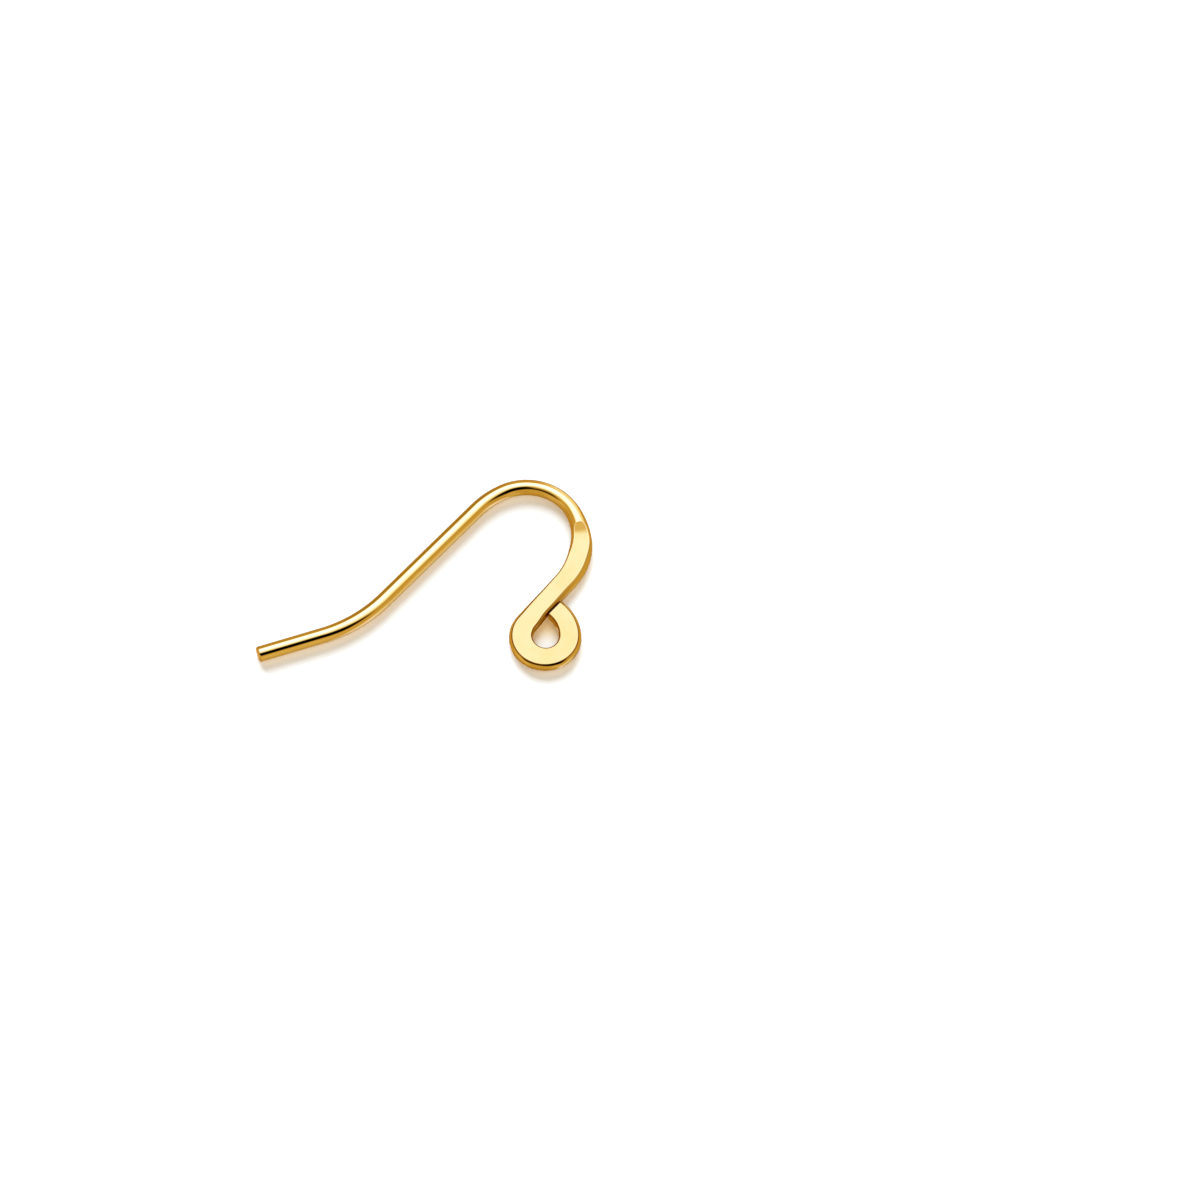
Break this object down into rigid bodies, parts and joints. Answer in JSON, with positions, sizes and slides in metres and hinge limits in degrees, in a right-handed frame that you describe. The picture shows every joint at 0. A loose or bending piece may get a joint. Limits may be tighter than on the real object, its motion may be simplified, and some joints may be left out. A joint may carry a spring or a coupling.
{
  "type": "ear wire",
  "caption": "Fish-hook ear wire in polished gold colour: round wire bent into an arch, with a flat stem curled into an eye for a dangle.",
  "frame": {"origin": "centre of the eye's round hole, halfway through the thickness of the wire", "axes": "the wire lies in the XY plane; +X from the tip towards the eye, +Y towards the top of the arch, +Z square to the flat face, up from the surface that the hook lies on"},
  "size_m": [0.0171, 0.0109, 0.0008],
  "materials": {
    "gold_wire": "polished"
  },
  "bodies": {
    "root": {"ear_wire": "gold_wire"}
  },
  "joints": []
}
